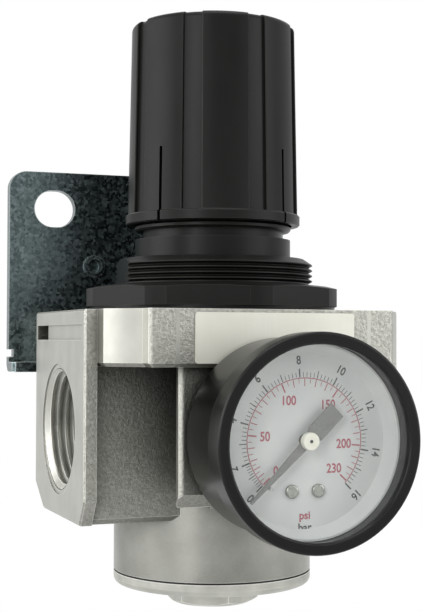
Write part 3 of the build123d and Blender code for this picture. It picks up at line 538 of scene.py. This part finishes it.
BAR_NUMERAL_R, BAR_NUMERAL_H = 19.4, 2.0
for value in range(0, BAR_LIMIT + 1, 2):
    numeral(f"bar_number_{value}", str(value), bar_angle(value), BAR_NUMERAL_R, BAR_NUMERAL_H,
            BLACK_INK, True)
PSI_NUMERAL_R, PSI_NUMERAL_H = 10.5, 2.2
for value in (0, 50, 100, 150, 200, PSI_LIMIT):
    numeral(f"psi_number_{value}", str(value), bar_angle(value / PSI_PER_BAR), PSI_NUMERAL_R,
            PSI_NUMERAL_H, RED_INK, False)
WORD_DEG = 180
WORD_H = 1.9
PSI_WORD_R, BAR_WORD_R = 18.1, 21.0
numeral("psi_word", "psi", WORD_DEG, PSI_WORD_R, WORD_H, RED_INK, False, narrow=1.0)
numeral("bar_word", "bar", WORD_DEG, BAR_WORD_R, WORD_H, BLACK_INK, False, narrow=1.0)


# ---------------------------------------------------------------- floor, lights and camera
def seen_white(tree):
    """1 for the rays that should meet plain white: from the camera, off a shine, through the window."""
    path = add(tree, "ShaderNodeLightPath").outputs
    direct = calc(tree, "ADD", path["Is Camera Ray"], path["Is Glossy Ray"])
    return calc(tree, "ADD", direct, path["Is Transmission Ray"], clamp=True)


def glowing(name, colour, seen):
    """Stage material that looks an even white where seen_white says so, and takes light otherwise."""
    material = bpy.data.materials.new(name)
    material.use_nodes = True
    tree = material.node_tree
    tree.nodes.clear()
    shown = seen_white(tree)
    plain = add(tree, "ShaderNodeBsdfDiffuse", Color=linear(colour))
    white = add(tree, "ShaderNodeEmission", Color=linear("FFFFFF"), Strength=seen)
    mixed = add(tree, "ShaderNodeMixShader", i0=shown, i1=plain.outputs[0], i2=white.outputs[0])
    add(tree, "ShaderNodeOutputMaterial", Surface=mixed.outputs[0])
    return material


def stage_sheet(name, corners, material):
    mesh = bpy.data.meshes.new(name)
    mesh.from_pydata(corners, [], [(0, 1, 2, 3)])
    made = bpy.data.objects.new(name, mesh)
    bpy.context.scene.collection.objects.link(made)
    made.data.materials.append(material)
    return made


FLOOR_GAP = 4 * MM          # room under the bottom cap
FLOOR_Z = CAD_BOX[0][2] - FLOOR_GAP
FLOOR_HALF = 2.5
stage_sheet("floor", [
    (-FLOOR_HALF, -FLOOR_HALF, FLOOR_Z),
    (FLOOR_HALF, -FLOOR_HALF, FLOOR_Z),
    (FLOOR_HALF, FLOOR_HALF, FLOOR_Z),
    (-FLOOR_HALF, FLOOR_HALF, FLOOR_Z),
], glowing("pale_floor", "E6E6E4", 1.0))

WORLD_GLOW = 0.3            # how much the surroundings light the object
world = bpy.data.worlds.new("studio")
bpy.context.scene.world = world
world.use_nodes = True
sky = world.node_tree
sky.nodes.clear()
sky_glow = add(sky, "ShaderNodeBackground", Color=linear("F2F4F5"), Strength=WORLD_GLOW)
sky_white = add(sky, "ShaderNodeBackground", Color=linear("FFFFFF"), Strength=1.0)
sky_mix = add(sky, "ShaderNodeMixShader", i0=seen_white(sky), i1=sky_glow.outputs[0], i2=sky_white.outputs[0])
add(sky, "ShaderNodeOutputWorld", Surface=sky_mix.outputs[0])


def area_light(name, place_m, size, watts):
    """White soft box at place_m that faces AIM."""
    light = bpy.data.lights.new(name, "AREA")
    light.shape = "RECTANGLE"
    light.size, light.size_y = size
    light.energy = watts
    made = bpy.data.objects.new(name, light)
    bpy.context.scene.collection.objects.link(made)
    made.location = place_m
    made.rotation_euler = (Vector(AIM) - Vector(place_m)).to_track_quat("-Z", "Y").to_euler()
    return made


AIM = (0, 0, 0.03)
SOFT_BOXES = (              # name, place, width and height, watts
    ("left_box", (-1.18, 0.20, 0.18), (0.9, 1.2), 11.0),
    ("front_left_box", (-0.80, -0.75, 0.40), (0.3, 0.8), 5.0),
    ("right_box", (0.89, -0.80, 0.18), (0.7, 1.2), 7.0),
    ("top_box", (0.0, -0.25, 0.95), (0.7, 0.7), 4.5),
)
for light_name, light_place, light_size, light_watts in SOFT_BOXES:
    area_light(light_name, light_place, light_size, light_watts)

SENSOR_MM = 36.0
LENS_MM = 110.92
NEAR_LIMIT = 0.01
CAMERA_PLACE = (-0.13298, -0.35060, 0.02464)
CAMERA_TURN_DEG = (91.472, -0.16, -20.736)
camera_data = bpy.data.cameras.new("camera")
camera_data.sensor_fit = "HORIZONTAL"
camera_data.sensor_width = SENSOR_MM
camera_data.lens = LENS_MM
camera_data.clip_start = NEAR_LIMIT
camera = bpy.data.objects.new("camera", camera_data)
bpy.context.scene.collection.objects.link(camera)
camera.location = CAMERA_PLACE
camera.rotation_euler = [math.radians(turn) for turn in CAMERA_TURN_DEG]
bpy.context.scene.camera = camera

bpy.context.scene.view_settings.view_transform = "Standard"
